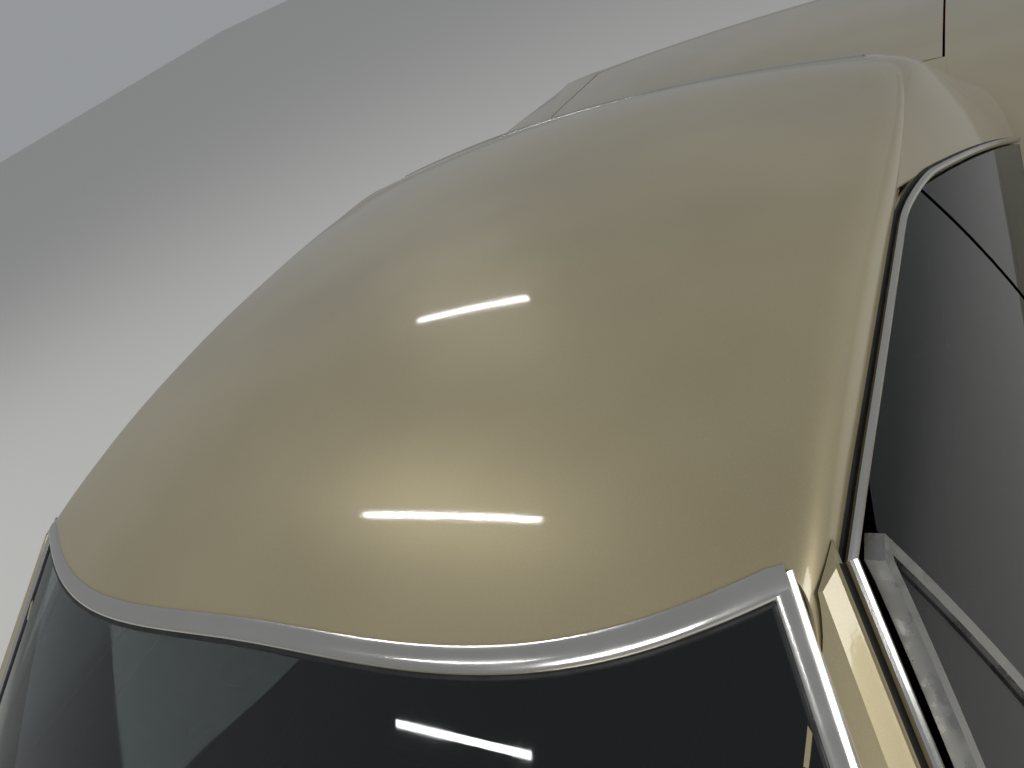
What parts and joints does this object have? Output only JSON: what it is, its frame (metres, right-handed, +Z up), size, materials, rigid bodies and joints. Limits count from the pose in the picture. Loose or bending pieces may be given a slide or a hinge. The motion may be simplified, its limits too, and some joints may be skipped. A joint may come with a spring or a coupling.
{
  "type": "muscle car",
  "caption": "Two-door hardtop muscle car with a vent-window front door, wide sail panels, notched trunk, opening doors, hood and lid, steering and rolling wheels.",
  "frame": {"origin": "on the ground, midway between the bumper faces and between the sides", "axes": "+X to the car's left side, +Y to its tail, +Z up"},
  "size_m": [1.9136, 5.05, 1.3442],
  "materials": {
    "gold_paint": "clear-coated metallic",
    "underbody_paint": "satin black",
    "glass": "polished",
    "lamp_glass": "polished",
    "chrome": "polished",
    "stainless": "polished",
    "anodised_aluminium": "satin",
    "engine_iron": "painted",
    "cast_iron": "as cast",
    "steel": "dull",
    "tyre_rubber": "matte",
    "wheel_paint": "silver",
    "vinyl": "grained",
    "dash_plastic": "grained",
    "wheel_plastic": "moulded",
    "lamp_red": "clear red",
    "shelf_board": "flocked"
  },
  "bodies": {
    "body": {"roof": "gold_paint", "sail_panels": "gold_paint", "cowl_and_pillars": "gold_paint", "nose_panel": "gold_paint", "tail_panel": "gold_paint", "fender_left": "gold_paint", "fender_right": "gold_paint", "quarter_left": "gold_paint", "quarter_right": "gold_paint", "windshield": "glass", "rear_windows": "glass", "floor_pan": "underbody_paint", "wheelhouses": "underbody_paint", "frame": "underbody_paint", "engine": "engine_iron", "radiator": "underbody_paint", "front_suspension": "underbody_paint", "rear_axle": "cast_iron", "exhaust": "steel", "fuel_tank": "steel", "bumper_front": "chrome", "bumper_rear": "chrome", "grille": "anodised_aluminium", "headlamps": "lamp_glass", "tail_lamps": "lamp_red", "dashboard": "dash_plastic", "steering_wheel": "wheel_plastic", "front_seats": "vinyl", "rear_seat": "vinyl", "rear_bulkhead": "shelf_board"},
    "knuckle_left": {"knuckle_left": "cast_iron"},
    "knuckle_right": {"knuckle_right": "cast_iron"},
    "door_left": {"door_left": "gold_paint", "vent_frame_left": "stainless", "door_glass_left": "glass", "mirror": "chrome"},
    "door_right": {"door_right": "gold_paint", "vent_frame_right": "stainless", "door_glass_right": "glass"},
    "hood": {"hood": "gold_paint"},
    "trunk_lid": {"trunk_lid": "gold_paint"},
    "wheel_fl": {"tyre_fl": "tyre_rubber", "rim_fl": "wheel_paint"},
    "wheel_fr": {"tyre_fr": "tyre_rubber", "rim_fr": "wheel_paint"},
    "wheel_rl": {"tyre_rl": "tyre_rubber", "rim_rl": "wheel_paint"},
    "wheel_rr": {"tyre_rr": "tyre_rubber", "rim_rr": "wheel_paint"}
  },
  "joints": [
    {"name": "steer_left", "type": "hinge", "parent": "body", "child": "knuckle_left", "pos_m": [0.687, -1.605, 0.334], "axis": [0, 0, 1], "range_deg": [-33, 33]},
    {"name": "steer_right", "type": "hinge", "parent": "body", "child": "knuckle_right", "pos_m": [-0.687, -1.605, 0.334], "axis": [0, 0, 1], "range_deg": [-33, 33]},
    {"name": "spin_fl", "type": "hinge", "parent": "knuckle_left", "child": "wheel_fl", "pos_m": [0.737, -1.605, 0.334], "axis": [1, 0, 0], "continuous": true},
    {"name": "spin_fr", "type": "hinge", "parent": "knuckle_right", "child": "wheel_fr", "pos_m": [-0.737, -1.605, 0.334], "axis": [1, 0, 0], "continuous": true},
    {"name": "spin_rl", "type": "hinge", "parent": "body", "child": "wheel_rl", "pos_m": [0.737, 1.315, 0.334], "axis": [1, 0, 0], "continuous": true},
    {"name": "spin_rr", "type": "hinge", "parent": "body", "child": "wheel_rr", "pos_m": [-0.737, 1.315, 0.334], "axis": [1, 0, 0], "continuous": true},
    {"name": "door_left_hinge", "type": "hinge", "parent": "body", "child": "door_left", "pos_m": [0.915, -0.93, 0.6], "axis": [0, 0, -1], "range_deg": [0, 65]},
    {"name": "door_right_hinge", "type": "hinge", "parent": "body", "child": "door_right", "pos_m": [-0.915, -0.93, 0.6], "axis": [0, 0, 1], "range_deg": [0, 65]},
    {"name": "hood_hinge", "type": "hinge", "parent": "body", "child": "hood", "pos_m": [0, -1.003, 0.97], "axis": [-1, 0, 0], "range_deg": [0, 50]},
    {"name": "trunk_hinge", "type": "hinge", "parent": "body", "child": "trunk_lid", "pos_m": [0, 1.42, 0.98], "axis": [1, 0, 0], "range_deg": [0, 75]}
  ],
  "couplings": [
    {"joint": "steer_right", "follows": "steer_left", "ratio": 1}
  ]
}
